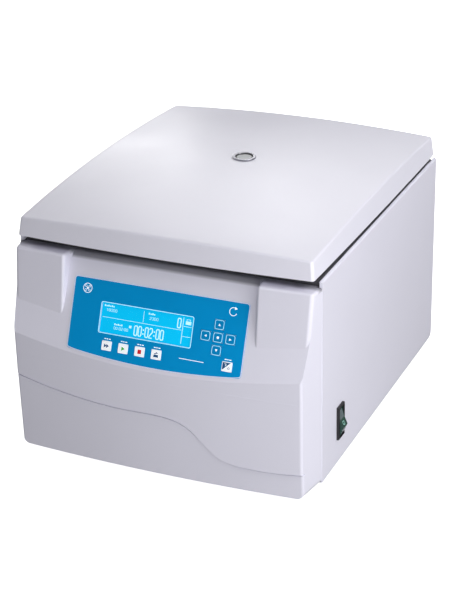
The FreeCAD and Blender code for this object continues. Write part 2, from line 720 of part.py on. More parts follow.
def lid_outline(z, inset):
    """Closed wire of the lid's plan at height z: corners rounded outside, square for the room within."""
    front_half, front_y, front_mid, side_half, back_half, back_y = lid_sizes(z)
    front_half -= inset
    back_half -= inset
    side_half -= inset
    front_y += inset
    front_mid += inset
    back_y -= inset
    front_left = V(-front_half, front_y, z)
    front_right = V(front_half, front_y, z)
    back_right = V(back_half, back_y, z)
    back_left = V(-back_half, back_y, z)
    edges = [
        Part.Arc(front_left, V(0, front_mid, z), front_right).toShape(),
        Part.Arc(front_right, V(side_half, LID_SIDE_MID_Y, z), back_right).toShape(),
        Part.Arc(back_right, V(0, back_y + LID_BACK_BOW, z), back_left).toShape(),
        Part.Arc(back_left, V(-side_half, LID_SIDE_MID_Y, z), front_left).toShape(),
    ]
    if inset:
        return Part.Wire(edges)
    slab = Part.Face(Part.Wire(edges)).extrude(V(0, 0, 1))
    slab = rounded(slab, LID_CORNER_R, upright)
    bottom = [face for face in slab.Faces if face.BoundBox.ZMax < z + 0.01]
    return fresh_arcs(bottom[0].OuterWire)


def lid_body(inset):
    """Solid of the lid's outer form, or of the room inside it."""
    low_z = LID_LOW_Z - inset
    bevel = Part.makeLoft([lid_outline(low_z, inset), lid_outline(LID_WIDE_Z, inset)], True, True)
    upper = Part.makeLoft([lid_outline(LID_WIDE_Z, inset), lid_outline(LID_LOFT_Z, inset)], True, True)
    # turned onto its side, so that the sphere's seam and poles stay clear of the lid
    dome = Part.makeSphere(DOME_R - inset)
    dome.rotate(V(0, 0, 0), V(1, 0, 0), 90)
    dome.translate(V(0, DOME_Y, DOME_TOP - DOME_R))
    return bevel.fuse(upper.common(dome)).removeSplitter()


def lid_cover():
    outer = lid_body(0)
    outer = rounded(outer, LID_EDGE_R, lambda b: b.ZMin > LID_RIM_Z - 4 and b.ZMax < DOME_TOP - 1)
    bosses = []
    for x in (-LID_BOSS_X, LID_BOSS_X):
        for y in LID_BOSS_Y:
            bosses.append(cyl(LID_BOSS_R, (x, y, LID_LOW_Z + LINER_T), UP, LID_LOFT_Z))
    shell = outer.cut(lid_body(WALL).cut(Part.makeCompound(bosses)))
    tools = [cyl(PORT_R, (0, SPIN_Y, 320), UP, 60),
             cyl(PORT_RING_R, (0, SPIN_Y, DOME_TOP - PORT_SEAT), UP, 10)]
    for x in (-HINGE_X, HINGE_X):
        tools.append(box(x - KNUCKLE_HALF - 1, x + KNUCKLE_HALF + 1, 240, HINGE_Y + 10,
                         LID_LOW_Z - 1, HINGE_Z + 3))
    return cut(shell, tools)


def lid_liner():
    """Pressed inner plate: flat rim, round pan reaching into the mouth, tube under the port."""
    outline = Part.Face(lid_outline(LID_LOW_Z, WALL)).extrude(V(0, 0, LINER_T))
    floor_z = DECK_LEDGE
    pan = cyl(149.0, (0, SPIN_Y, floor_z), UP, LID_LOW_Z + LINER_T - floor_z)
    pan = rounded(pan, 4.0, lambda b: b.ZMax < floor_z + 0.1)
    room = cyl(147.0, (0, SPIN_Y, floor_z + LINER_T), UP, 30)
    room = rounded(room, 2.0, lambda b: b.ZMax < floor_z + LINER_T + 0.1)
    tube = cyl(17.0, (0, SPIN_Y, floor_z), UP, DOME_TOP - WALL - floor_z - 1)
    body = outline.fuse(pan).cut(room).fuse(tube)
    return cut(body, [cyl(15.0, (0, SPIN_Y, floor_z - 5), UP, 100)])


def lid_seal():
    return ring(160.0, 153.5, (0, SPIN_Y, DECK_TOP + 0.3), UP, LID_LOW_Z - DECK_TOP - 0.3)


def port_ring():
    collar = ring(PORT_RING_R, PORT_GLASS_R, (0, SPIN_Y, DOME_TOP - PORT_SEAT), UP, PORT_COLLAR_H)
    collar = rounded(collar, 0.7, lambda b: b.ZMin > DOME_TOP + 1.1)
    sleeve = ring(PORT_R, PORT_GLASS_R, (0, SPIN_Y, DOME_TOP - 6), UP, 6)
    return collar.fuse(sleeve).removeSplitter()


def port_glass():
    return cyl(PORT_GLASS_R, (0, SPIN_Y, DOME_TOP - 3), UP, 3.4)


def lid_striker():
    """Hooked plate that drops through the deck into the lock."""
    foot = box(-18, 18, -196, -183, LID_LOW_Z - 1.4, LID_LOW_Z)
    blade = box(-11, 11, -191, -188, 276, LID_LOW_Z - 1)
    blade = rounded(blade, 3.0, lambda b: b.YLength > 1 and b.ZMax < 277)
    window = box(-6, 6, -200, -180, 279, 289)
    return foot.fuse(blade).cut(window).removeSplitter()


# ---------------------------------------------------------------- hinge and lock
def hinge_lid_leaves():
    shapes = []
    for x in (-HINGE_X, HINGE_X):
        left = x - KNUCKLE_HALF
        knuckle = cyl(HINGE_R, (left, HINGE_Y, HINGE_Z), ALONG_X, 2 * KNUCKLE_HALF)
        strap = box(left, x + KNUCKLE_HALF, 205, HINGE_Y, LID_LOW_Z + LINER_T, LID_LOW_Z + LINER_T + 2.5)
        bore = cyl(HINGE_PIN_R + FIT, (left - 1, HINGE_Y, HINGE_Z), ALONG_X, 2 * KNUCKLE_HALF + 2)
        shapes.append(cut(knuckle.fuse(strap), [bore]))
    return shapes


def hinge_fixed_leaves():
    shapes = []
    for x in (-HINGE_X, HINGE_X):
        for side in (-1, 1):
            inner = KNUCKLE_HALF + 0.4
            left = x + inner if side > 0 else x - HINGE_HALF
            length = HINGE_HALF - inner
            knuckle = cyl(HINGE_R, (left, HINGE_Y, HINGE_Z), ALONG_X, length)
            strap = box(left, left + length, REAR_Y, REAR_Y + 2, 262, HINGE_Z)
            bore = cyl(HINGE_PIN_R, (left - 1, HINGE_Y, HINGE_Z), ALONG_X, length + 2)
            shapes.append(cut(knuckle.fuse(strap), [bore]))
    fixed = []
    for index, x in enumerate((-HINGE_X, HINGE_X)):
        web = box(x - HINGE_HALF, x + HINGE_HALF, REAR_Y, REAR_Y + 2, 262, 296)
        fixed.append(fuse([web] + shapes[2 * index:2 * index + 2]))
    return fixed


def hinge_pins():
    length = 2 * HINGE_HALF + 1
    return [cyl(HINGE_PIN_R, (x - length / 2, HINGE_Y, HINGE_Z), ALONG_X, length)
            for x in (-HINGE_X, HINGE_X)]


def lock_housing():
    body = box(-30, 30, -197, LOCK_BACK, 268, DECK_LEDGE)
    slot = box(-14, 14, -195, -184, 272, DECK_LEDGE + 1)
    bore = cyl(BOLT_R + FIT, (0, -190, LOCK_Z), ALONG_Y, 60)
    return cut(body, [slot, bore])


def lock_bolt():
    bolt = cyl(BOLT_R, (0, -182.5, LOCK_Z), ALONG_Y, 45)
    return rounded(bolt, 1.5, lambda b: b.YMax < -182)


def lock_solenoid():
    body = box(-15, 15, LOCK_BACK, -116, 271, DECK_LEDGE)
    body = rounded(body, 2.0, lambda b: b.YLength > 20)
    return body.cut(cyl(BOLT_R + FIT, (0, LOCK_BACK - 1, LOCK_Z), ALONG_Y, 30))


# ---------------------------------------------------------------- switch
def switch_bezel():
    wall = 1.2
    half_w = WELL_W / 2 + wall
    half_h = WELL_H / 2 + 1.0
    flange = box(HALF_W, HALF_W + BEZEL_PROUD, SWITCH_Y - BEZEL_W / 2, SWITCH_Y + BEZEL_W / 2,
                 SWITCH_Z - BEZEL_H / 2, SWITCH_Z + BEZEL_H / 2)
    flange = rounded(flange, 1.5, lambda b: b.XMin > HALF_W + BEZEL_PROUD - 0.1)
    body = box(HALF_W - 26, HALF_W + 1, SWITCH_Y - half_w, SWITCH_Y + half_w,
               SWITCH_Z - half_h, SWITCH_Z + half_h)
    well = box(HALF_W - 24, HALF_W + 10, SWITCH_Y - WELL_W / 2, SWITCH_Y + WELL_W / 2,
               SWITCH_Z - WELL_H / 2, SWITCH_Z + WELL_H / 2)
    axle = cyl(2.0 + FIT, (ROCKER_PIVOT_X, SWITCH_Y - WELL_W / 2 - 0.9, SWITCH_Z), ALONG_Y, WELL_W + 1.8)
    return cut(flange.fuse(body), [well, axle])


def switch_rocker():
    face = plate([(x, SWITCH_Y - ROCKER_HALF, SWITCH_Z + z) for x, z in ROCKER])
    rocker = face.extrude(V(0, 2 * ROCKER_HALF, 0))
    rocker = rounded(rocker, 1.0, lambda b: b.YLength > 10 and b.XMin > 210)
    axle = cyl(2.0, (ROCKER_PIVOT_X, SWITCH_Y - ROCKER_HALF - 0.9, SWITCH_Z), ALONG_Y, 2 * ROCKER_HALF + 1.8)
    return rocker.fuse(axle).removeSplitter()


# ---------------------------------------------------------------- rear fittings and electronics
def fan_frame():
    back = REAR_Y - SHEET
    half = FAN_SIDE / 2
    body = box(FAN_X - half, FAN_X + half, back - FAN_DEPTH, back, FAN_Z - half, FAN_Z + half)
    body = rounded(body, 4.0, lambda b: b.YLength > 20)
    body = body.cut(cyl(FAN_BORE, (FAN_X, back - FAN_DEPTH - 1, FAN_Z), ALONG_Y, FAN_DEPTH + 2))
    low = back - FAN_DEPTH
    reach = half - 2
    struts = [box(FAN_X - reach, FAN_X + reach, low, low + 3, FAN_Z - 2, FAN_Z + 2),
              box(FAN_X - 2, FAN_X + 2, low, low + 3, FAN_Z - reach, FAN_Z + reach),
              cyl(16.0, (FAN_X, low, FAN_Z), ALONG_Y, 4),
              cyl(2.0, (FAN_X, low, FAN_Z), ALONG_Y, 16)]
    return fuse([body] + struts)


def fan_impeller():
    back = REAR_Y - SHEET
    start = back - FAN_DEPTH + 4.6
    hub = cyl(15.0, (0, start, 0), ALONG_Y, 15)
    hub = rounded(hub, 1.0, lambda b: b.YMin > start + 14)
    blades = []
    for turn in range(7):
        blade = box(13, FAN_BORE - 1.5, 2, 14, -0.8, 0.8)
        blade.rotate(V(0, 8, 0), V(1, 0, 0), 35)
        blade.translate(V(0, start - 0.5, 0))
        blade.rotate(V(0, 0, 0), V(0, 1, 0), 360 / 7 * turn)
        blades.append(blade)
    wheel = fuse([hub] + blades).cut(cyl(2.0 + FIT, (0, start - 5, 0), ALONG_Y, 17))
    wheel.translate(V(FAN_X, 0, FAN_Z))
    return wheel


def mains_inlet():
    """Three-pin inlet: flange outside, body through the rear panel, socket with its pins."""
    flange = box(INLET_X - 25, INLET_X + 25, REAR_Y, REAR_Y + 3, INLET_Z - 14, INLET_Z + 14)
    flange = rounded(flange, 3.0, lambda b: b.YLength > 2 and b.XLength < 0.1 and b.ZLength < 0.1)
    body = box(INLET_X - 14, INLET_X + 14, REAR_Y - 24, REAR_Y + 1, INLET_Z - 10.5, INLET_Z + 10.5)
    socket = box(INLET_X - 12, INLET_X + 12, REAR_Y - 16, REAR_Y + 10, INLET_Z - 8.3, INLET_Z + 8.3)
    socket = rounded(socket, 3.0, lambda b: b.YLength > 10 and b.ZMax > INLET_Z)
    body = flange.fuse(body).cut(socket)
    pins = []
    for x, z in ((-7, -2), (0, 2), (7, -2)):
        pins.append(box(INLET_X + x - 1, INLET_X + x + 1, REAR_Y - 17, REAR_Y - 4,
                        INLET_Z + z - 2, INLET_Z + z + 2))
    return fuse([body] + pins)


def fuse_holders():
    shapes = []
    for x in FUSE_X:
        cap = cyl(8.0, (x, REAR_Y, FUSE_Z), ALONG_Y, 5)
        cap = rounded(cap, 1.2, lambda b: b.YMin > REAR_Y + 4)
        slot = box(x - 5, x + 5, REAR_Y + 4, REAR_Y + 6, FUSE_Z - 0.7, FUSE_Z + 0.7)
        body = cyl(FUSE_HOLE_R, (x, REAR_Y - 25, FUSE_Z), ALONG_Y, 26)
        shapes.append(cap.cut(slot).fuse(body).removeSplitter())
    return shapes


def power_board():
    floor = FLOOR_Z + SHEET
    board = box(-190, -80, -196, -126, floor + 8, floor + 9.6)
    parts = [board]
    for x in (-184, -86):
        for y in (-190, -132):
            parts.append(cyl(3.0, (x, y, floor), UP, 8))
    for x in (-170, -142):
        parts.append(cyl(11.0, (x, -145, floor + 9.6), UP, 32))
    parts.append(box(-125, -95, -150, -130, floor + 9.6, floor + 32))
    return fuse(parts)


def heat_sink():
    floor = FLOOR_Z + SHEET
    parts = [box(-180, -90, -192, -188, floor + 9.6, floor + 50)]
    for count in range(6):
        z = floor + 14 + count * 6
        parts.append(box(-180, -90, -188.5, -174, z, z + 1.8))
    return fuse(parts)


def rear_screws():
    """Pan-head screws round the rear panel's edge."""
    shapes = []
    spots = [(x, z) for x in (-205, 205) for z in (30, 150, 250)]
    spots += [(x, 22) for x in (-70, 70)]
    for x, z in spots:
        head = cyl(3.6, (x, REAR_Y, z), ALONG_Y, 2.2)
        head = rounded(head, 1.0, lambda b: b.YMin > REAR_Y + 2)
        cross = box(x - 2.2, x + 2.2, REAR_Y + 1.2, REAR_Y + 3, z - 0.4, z + 0.4)
        other = box(x - 0.4, x + 0.4, REAR_Y + 1.2, REAR_Y + 3, z - 2.2, z + 2.2)
        shapes.append(cut(head, [cross, other]))
    return shapes


def main():
    os.makedirs("parts", exist_ok=True)
    export("front_panel", [front_panel()])
    export("control_overlay", [control_overlay()])
    export("display_window", [display_window()])
    export("display_module", [display_module()])
    export("control_board", [control_board()])
    for name, (x, s, width) in KEYS.items():
        export(name, [key(x, s, width)])
    export("side_panel_right", [side_panel_right()])
    export("side_panel_left", [side_panel_left()])
    export("release_plug", [release_plug()])
    export("rear_panel", [rear_panel()])
    export("base_plate", [base_plate()])
    export("feet", feet())
    export("top_deck", [top_deck()])
    export("chamber_bowl", [chamber_bowl()])
    export("bowl_seal", [bowl_seal()])
    export("guard_ring", [guard_ring()])
    export("motor_housing", [motor_housing()])
    export("shaft_boot", [shaft_boot()])
    export("motor_shaft", [motor_shaft()])
    export("motor_bracket", [motor_bracket()])
    export("motor_mounts", motor_mounts())
    export("rotor_yoke", [rotor_yoke()])
    export("rotor_nut", [rotor_nut()])
    for turn in range(BUCKETS):
        export("bucket_" + str(turn + 1), [bucket(turn)])
    export("lid_cover", [lid_cover()])
    export("lid_liner", [lid_liner()])
    export("lid_seal", [lid_seal()])
    export("port_ring", [port_ring()])
    export("port_glass", [port_glass()])
    export("lid_striker", [lid_striker()])
    export("hinge_lid_leaves", hinge_lid_leaves())
    export("hinge_fixed_leaves", hinge_fixed_leaves())
    export("hinge_pins", hinge_pins())
    export("lock_housing", [lock_housing()])
    export("lock_bolt", [lock_bolt()])
    export("lock_solenoid", [lock_solenoid()])
    export("switch_bezel", [switch_bezel()])
    export("switch_rocker", [switch_rocker()])
    export("fan_frame", [fan_frame()])
    export("fan_impeller", [fan_impeller()])
    export("mains_inlet", [mains_inlet()])
    export("fuse_holders", fuse_holders())
    export("power_board", [power_board()])
    export("heat_sink", [heat_sink()])
    export("rear_screws", rear_screws())


main()
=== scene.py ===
"""Studio scene of a bench laboratory centrifuge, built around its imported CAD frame.

Blender objects are in metres in the CAD frame: +Z up, front facing -Y. Flat marks are laid out
in millimetres on the face they belong to and placed through that face's own axes.
"""
import json
import math

import bpy
from mathutils import Matrix, Vector


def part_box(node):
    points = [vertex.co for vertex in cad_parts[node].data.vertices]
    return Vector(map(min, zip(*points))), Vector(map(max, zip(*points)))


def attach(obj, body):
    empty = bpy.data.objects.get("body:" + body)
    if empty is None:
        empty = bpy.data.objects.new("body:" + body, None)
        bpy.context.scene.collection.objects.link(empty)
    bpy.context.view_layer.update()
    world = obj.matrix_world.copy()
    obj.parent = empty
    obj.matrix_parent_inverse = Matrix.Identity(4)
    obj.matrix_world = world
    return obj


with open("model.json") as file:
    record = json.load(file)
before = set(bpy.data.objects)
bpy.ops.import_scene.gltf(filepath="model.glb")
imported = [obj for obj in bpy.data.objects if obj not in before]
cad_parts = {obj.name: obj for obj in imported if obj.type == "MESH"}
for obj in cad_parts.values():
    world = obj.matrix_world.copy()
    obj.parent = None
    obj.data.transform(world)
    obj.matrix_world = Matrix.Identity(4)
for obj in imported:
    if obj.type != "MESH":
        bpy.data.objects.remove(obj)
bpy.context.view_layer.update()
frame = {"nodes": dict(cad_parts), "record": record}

NODES = frame["nodes"]
MM = 0.001
SPINDLE = Vector((0.0, 0.05, 0.0))     # a point on the rotor's upright axis, metres

# ---- faces that carry marks: lengths in millimetres, as the CAD has them ----
SLOPE_LEAN = math.radians(22.5)
OVERLAY_HALF = 125.0
OVERLAY_TOP = 88.5
OVERLAY_CORNER = -7.5      # height of the overlay's lower corners on the slope
OVERLAY_MID = -16.0        # and of the lowest point of its bowed lower edge
OVERLAY_T = 0.6
OVERLAY_R = 4.5
WINDOW = (-81.5, 50.0, 19.7, 59.3)
WINDOW_T = 1.8
KEY_TOP = 1.1              # height of the key faces above the slope
KEY_HALF_H = 6.25
PRINT_T = 0.05             # thickness of a printed layer
LIFT = 0.01                # clearance between a printed layer and its face

# ---- main colours, linear ----
WHITE = (0.86, 0.94, 1.0)
SHELL = (0.745, 0.736, 0.840)
LID = (0.770, 0.762, 0.858)
BLUE = (0.0, 0.285, 0.650)
BOARD = (0.012, 0.110, 0.050)

# ---- painted shade: darker tint of the front panel under the lid's front edge, metres ----
SLOT_HALF = 0.134          # half-width of the finger slot
SLOT_EDGE = 0.002          # width over which the slot's tint gives way to the corner blocks'
SLOT_RISE = (0.2838, 0.2880)           # heights between which the slot's tint sets in
SLOT_SHADE_KEEP = 0.34           # share of the colour that the slot's tint leaves
LEDGE_LEVEL = 0.2915       # a little below the flat ledge on top of the corner blocks
LEDGE_DEPTH = (-0.2185, -0.2110)       # y between which the ledge's tint sets in
LEDGE_SHADE_KEEP = 0.40

NOISE_SPAN = (0.3, 0.7)    # where most values of a noise texture lie
ROUGHNESS_FLOOR = 0.02


# ---------------------------------------------------------------- nodes and materials
class Shader:
    """A Principled material with helpers for procedural detail in object coordinates."""

    def __init__(self, name, rgb, roughness, metallic=0.0, **sockets):
        self.material = bpy.data.materials.new(name)
        self.material.use_nodes = True
        self.tree = self.material.node_tree
        self.bsdf = self.tree.nodes["Principled BSDF"]
        self.rgb = rgb
        self.put("Base Color", (*rgb, 1.0))
        self.put("Roughness", roughness)
        self.put("Metallic", metallic)
        for key, value in sockets.items():
            self.put(key.replace("_", " "), value)
        self.roughness = roughness
        self.height = None
        self.coords = self.node("ShaderNodeTexCoord").outputs["Object"]

    def put(self, socket, value):
        self.bsdf.inputs[socket].default_value = value

    def node(self, kind, **settings):
        made = self.tree.nodes.new(kind)
        for key, value in settings.items():
            setattr(made, key, value)
        return made

    def link(self, source, target):
        self.tree.links.new(source, target)

    def noise(self, scale, detail=2.0, coords=None):
        made = self.node("ShaderNodeTexNoise")
        made.inputs["Scale"].default_value = scale
        made.inputs["Detail"].default_value = detail
        self.link(coords or self.coords, made.inputs["Vector"])
        return made.outputs["Fac"]

    def maths(self, operation, a, b=None):
        made = self.node("ShaderNodeMath", operation=operation)
        for index, value in enumerate((a, b)):
            if value is None:
                continue
            if isinstance(value, (int, float)):
                made.inputs[index].default_value = value
            else:
                self.link(value, made.inputs[index])
        return made.outputs[0]

    def span(self, source, start, end, low, high):
        """Map a value that runs from start to end onto low to high, held at both ends."""
        made = self.node("ShaderNodeMapRange")
        values = {"From Min": start, "From Max": end, "To Min": low, "To Max": high}
        for key, value in values.items():
            made.inputs[key].default_value = value
        self.link(source, made.inputs["Value"])
        return made.outputs["Result"]

    def drift(self, source, low, high):
        """Spread a noise value over low to high."""
        return self.span(source, *NOISE_SPAN, low, high)

    def split(self):
        made = self.node("ShaderNodeSeparateXYZ")
        self.link(self.coords, made.inputs[0])
        return made.outputs

    def blend(self, factor, first, second, socket):
        """Mix two colours by a factor into one of the shader's sockets."""
        mix = self.node("ShaderNodeMix", data_type="RGBA")
        self.link(factor, mix.inputs["Factor"])
        mix.inputs["A"].default_value = (*first, 1)
        mix.inputs["B"].default_value = (*second, 1)
        self.link(mix.outputs["Result"], self.bsdf.inputs[socket])
        return mix

    def mottle(self, amount, scale=None, source=None):
        """Drift of the colour over the surface, by a noise of its own or a given source."""
        dark = [c * (1 - amount) for c in self.rgb]
        light = [min(1, c * (1 + amount)) for c in self.rgb]
        self.blend(self.drift(source or self.noise(scale), 0.0, 1.0), dark, light, "Base Color")
        return self

    def uneven(self, spread, scale=None, source=None):
        """Roughness that drifts over the surface, by a noise of its own or a given source."""
        source = source or self.noise(scale, detail=3.0)
        low = max(ROUGHNESS_FLOOR, self.roughness - spread)
        self.link(self.drift(source, low, self.roughness + spread), self.bsdf.inputs["Roughness"])
        return self

    def darkened(self, keep):
        """Scale the colour by a value that runs from 0 to 1."""
        colour = self.bsdf.inputs["Base Color"].links[0].from_socket
        mix = self.blend(keep, (0.0, 0.0, 0.0), self.rgb, "Base Color")
        self.link(colour, mix.inputs["B"])
        return self

    def relief(self, source, distance, strength):
        """Surface relief, in metres; calls stack."""
        bump = self.node("ShaderNodeBump")
        bump.inputs["Strength"].default_value = strength
        bump.inputs["Distance"].default_value = distance
        self.link(source, bump.inputs["Height"])
        if self.height is not None:
            self.link(self.height, bump.inputs["Normal"])
        self.height = bump.outputs["Normal"]
        self.link(self.height, self.bsdf.inputs["Normal"])
        return self

    def turned(self, rings):
        """Coordinates that run along lathe rings about the spindle."""
        axes = self.split()
        x = self.maths("SUBTRACT", axes["X"], SPINDLE.x)
        y = self.maths("SUBTRACT", axes["Y"], SPINDLE.y)
        squares = self.maths("ADD", self.maths("MULTIPLY", x, x), self.maths("MULTIPLY", y, y))
        joined = self.node("ShaderNodeCombineXYZ")
        self.link(self.maths("MULTIPLY", self.maths("SQRT", squares), rings), joined.inputs["X"])
        self.link(self.maths("MULTIPLY", axes["Z"], rings), joined.inputs["Z"])
        return joined.outputs[0]

    def stretched(self, x, y, z):
        made = self.node("ShaderNodeMapping")
        made.inputs["Scale"].default_value = (x, y, z)
        self.link(self.coords, made.inputs["Vector"])
        return made.outputs[0]


def moulded(name, rgb, roughness, grain=0.00003, **sockets):
    """Moulded plastic: spark-eroded grain, slow drift of colour and gloss."""
    made = Shader(name, rgb, roughness, **sockets)
    made.mottle(amount=0.012, scale=7.0).uneven(spread=0.035, scale=11.0)
    made.relief(made.noise(scale=900.0, detail=3.0), distance=grain, strength=0.55)
    return made.relief(made.noise(scale=9.0), distance=0.0006, strength=0.10)


def coated(name, rgb, roughness, **sockets):
    """Powder-coated sheet: fine orange peel."""
    made = Shader(name, rgb, roughness, **sockets)
    made.mottle(amount=0.012, scale=6.0).uneven(spread=0.04, scale=14.0)
    made.relief(made.noise(scale=420.0), distance=0.00005, strength=0.5)
    return made.relief(made.noise(scale=1500.0), distance=0.00001, strength=0.4)


def spun(name, rgb, roughness):
    """Metal turned on a lathe: fine rings about the spindle."""
    made = Shader(name, rgb, roughness, metallic=1.0)
    rings = made.noise(scale=1.0, detail=4.0, coords=made.turned(rings=2600.0))
    broad = made.noise(scale=1.0, coords=made.turned(rings=900.0))
    made.mottle(amount=0.10, source=rings).uneven(spread=0.08, source=broad)
    return made.relief(rings, distance=0.000012, strength=0.5)


def brushed(name, rgb, roughness):
    """Metal brushed along X."""
    made = Shader(name, rgb, roughness, metallic=1.0)
    lines = made.noise(scale=1.0, detail=3.0, coords=made.stretched(40.0, 2400.0, 2400.0))
    made.mottle(amount=0.08, source=lines).uneven(spread=0.07, scale=30.0)
    return made.relief(lines, distance=0.000010, strength=0.45)


def rubber(name, rgb):
    made = Shader(name, rgb, roughness=0.78)
    made.mottle(amount=0.25, scale=60.0).uneven(spread=0.08, scale=90.0)
    return made.relief(made.noise(scale=1400.0, detail=3.0), distance=0.00004, strength=0.6)


def board(name):
    """Circuit board: the edges of Voronoi cells stand for its tracks."""
    made = Shader(name, BOARD, roughness=0.34)
    cells = made.node("ShaderNodeTexVoronoi", feature="DISTANCE_TO_EDGE")
    cells.inputs["Scale"].default_value = 160.0
    made.link(made.coords, cells.inputs["Vector"])
    tracks = cells.outputs["Distance"]
    made.mottle(amount=0.35, source=tracks).uneven(spread=0.06, scale=200.0)
    return made.relief(tracks, distance=0.00004, strength=0.5)


def film(name, rgb, roughness, **sockets):
    """Screen-printed polyester film: even colour, faint hammered gloss."""
    made = Shader(name, rgb, roughness, **sockets)
    made.mottle(amount=0.018, scale=18.0).uneven(spread=0.03, scale=40.0)
    return made.relief(made.noise(scale=2200.0), distance=0.000006, strength=0.4)


def glowing(name, rgb, strength, **sockets):
    """Back-lit layer: its light falls off a little unevenly."""
    made = Shader(name, rgb, roughness=0.35, **sockets)
    made.put("Emission Strength", strength)
    dimmer = [c * 0.95 for c in rgb]
    made.blend(made.drift(made.noise(scale=14.0), 0.0, 1.0), dimmer, rgb, "Emission Color")
    return made


def ink(name, rgb):
    made = Shader(name, rgb, roughness=0.42)
    made.mottle(amount=0.03, scale=220.0)
    return made.relief(made.noise(scale=2600.0), distance=0.000006, strength=0.3)


def lit(made, strength):
    """Painted light: make a pale material glow in its own colour, so it looks brighter than the lamps alone
    light it.
    """
    made.put("Emission Color", (*made.rgb, 1.0))
    made.put("Emission Strength", strength)
    return made


def shaded_under_lid(made):
    """Painted shade under the lid's front edge: darken the top of the finger slot by height, and the corner
    blocks' ledge by its depth.
    """
    axes = made.split()
    slot = made.span(axes["Z"], *SLOT_RISE, 1.0, SLOT_SHADE_KEEP)
    level = made.span(axes["Z"], SLOT_RISE[1], LEDGE_LEVEL, 1.0, LEDGE_SHADE_KEEP)
    depth = made.span(axes["Y"], *LEDGE_DEPTH, 1.0, LEDGE_SHADE_KEEP)
    ledge = made.maths("MAXIMUM", level, depth)
    beside = made.span(made.maths("ABSOLUTE", axes["X"]), SLOT_HALF - SLOT_EDGE, SLOT_HALF, 0.0, 1.0)
    return made.darkened(made.maths("MINIMUM", made.maths("MAXIMUM", slot, beside), ledge))


def shell_plastic():
    return shaded_under_lid(moulded("body_plastic", SHELL, 0.40, Specular_IOR_Level=0.42))


# each row: material name, colour, roughness (strength of its light if it glows), then shader sockets
MATERIALS = {
    # the front panel's plastic carries the painted shade under the lid's front edge
    "body_plastic": shell_plastic(),
    "body_sheet": coated("body_sheet", SHELL, 0.42, Specular_IOR_Level=0.42),
    "lid_plastic": moulded("lid_plastic", LID, 0.34, grain=0.00002, Specular_IOR_Level=0.48),
    # dark plastic deck; its near-black colour is partly painted shade for the slot under the lid's front
    # edge
    "deck_plastic": moulded("deck_plastic", (0.055, 0.055, 0.062), 0.50),
    "overlay_film": film("overlay_film", BLUE, 0.40, Specular_IOR_Level=0.12),
    "window_clear": film("window_clear", (0.10, 0.60, 0.80), 0.14, Alpha=0.04, Specular_IOR_Level=0.1),
    "display_blue": glowing("display_blue", (0.0, 0.38, 0.66), 0.66, Specular_IOR_Level=0.05),
    "board_green": board("board_green"),
    # the light keys glow with painted light
    "key_light": lit(moulded("key_light", (0.93, 0.95, 1.0), 0.36, grain=0.00001), 0.22),
    "key_blue": film("key_blue", (0.0, 0.245, 0.570), 0.38, Specular_IOR_Level=0.12),
    "base_sheet": coated("base_sheet", (0.24, 0.25, 0.27), 0.46),
    "rubber_black": rubber("rubber_black", (0.022, 0.022, 0.024)),
    "steel_bright": spun("steel_bright", (0.66, 0.67, 0.69), 0.26),
    "steel_plain": brushed("steel_plain", (0.40, 0.41, 0.43), 0.46),
    "chrome_trim": spun("chrome_trim", (0.36, 0.36, 0.40), 0.16),
    "alloy": spun("alloy", (0.70, 0.71, 0.73), 0.34),
    "alloy_dark": spun("alloy_dark", (0.16, 0.165, 0.18), 0.38),
    "black_plastic": moulded("black_plastic", (0.014, 0.013, 0.016), 0.42),
    "rocker_green": film("rocker_green", (0.002, 0.045, 0.030), 0.18, Coat_Weight=0.2, Coat_Roughness=0.08),
    # the port's glass: its pale, nearly opaque colour is a painted reflection on the glass
    "clear_glass": film("clear_glass", (0.92, 0.94, 0.97), 0.06,
                        Alpha=0.85, Coat_Weight=0.8, Coat_Roughness=0.03),
}
INKS = {
    # the white, pale blue and rim inks glow with painted light
    "white": lit(ink("ink_white", WHITE), 0.35),
    "pale_blue": lit(ink("ink_pale_blue", (0.42, 0.80, 0.97)), 0.45),
    # ink of the pale line round the overlay: a painted highlight of the overlay's edge
    "rim": lit(ink("ink_rim_highlight", (0.76, 0.80, 0.93)), 0.12),
    "navy": ink("ink_navy", (0.010, 0.085, 0.240)),
    "green": ink("ink_green", (0.055, 0.520, 0.075)),
    "red": ink("ink_red", (0.700, 0.008, 0.016)),
    "lcd": glowing("lcd_mark", (0.46, 0.78, 0.88), 0.55, Specular_IOR_Level=0.1),
    "lens": film("rocker_lens", (0.085, 0.120, 0.132), 0.14, Coat_Weight=0.3, Coat_Roughness=0.05),
    "mint": ink("ink_mint", (0.30, 0.62, 0.53)),
}


def dress_cad():
    """Give each CAD node the material of its slot in the record."""
    for row in frame["record"]["subparts"]:
        for slot in NODES[row["node"]].material_slots:
            slot.material = MATERIALS[row["material_slot"]].material


# ---------------------------------------------------------------- faces and flat shapes
CORNER_STEPS = 6
MITRE_LIMIT = 0.5          # keeps the joint of two strokes from running out into a spike
TINY = 1e-6


def slope_origin():
    """The slope's zero point, worked back from the overlay's box."""
    low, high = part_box("control_overlay")
    y = high.y - OVERLAY_TOP * MM * math.sin(SLOPE_LEAN)
    z = high.z - (OVERLAY_TOP * math.cos(SLOPE_LEAN) + OVERLAY_T * math.sin(SLOPE_LEAN)) * MM
    return Vector((0.0, y, z))


SLOPE_ZERO = slope_origin()
SLOPE_UP = Vector((0, math.sin(SLOPE_LEAN), math.cos(SLOPE_LEAN)))
SLOPE_OUT = Vector((0, -math.cos(SLOPE_LEAN), math.sin(SLOPE_LEAN)))


def face_place(zero, across, up, out):
    """Function from (x, s, n) in millimetres on a face to a point in the frame."""
    def place(x, s, n):
        return zero + (across * x + up * s + out * n) * MM
    return place


ON_SLOPE = face_place(SLOPE_ZERO, Vector((1, 0, 0)), SLOPE_UP, SLOPE_OUT)


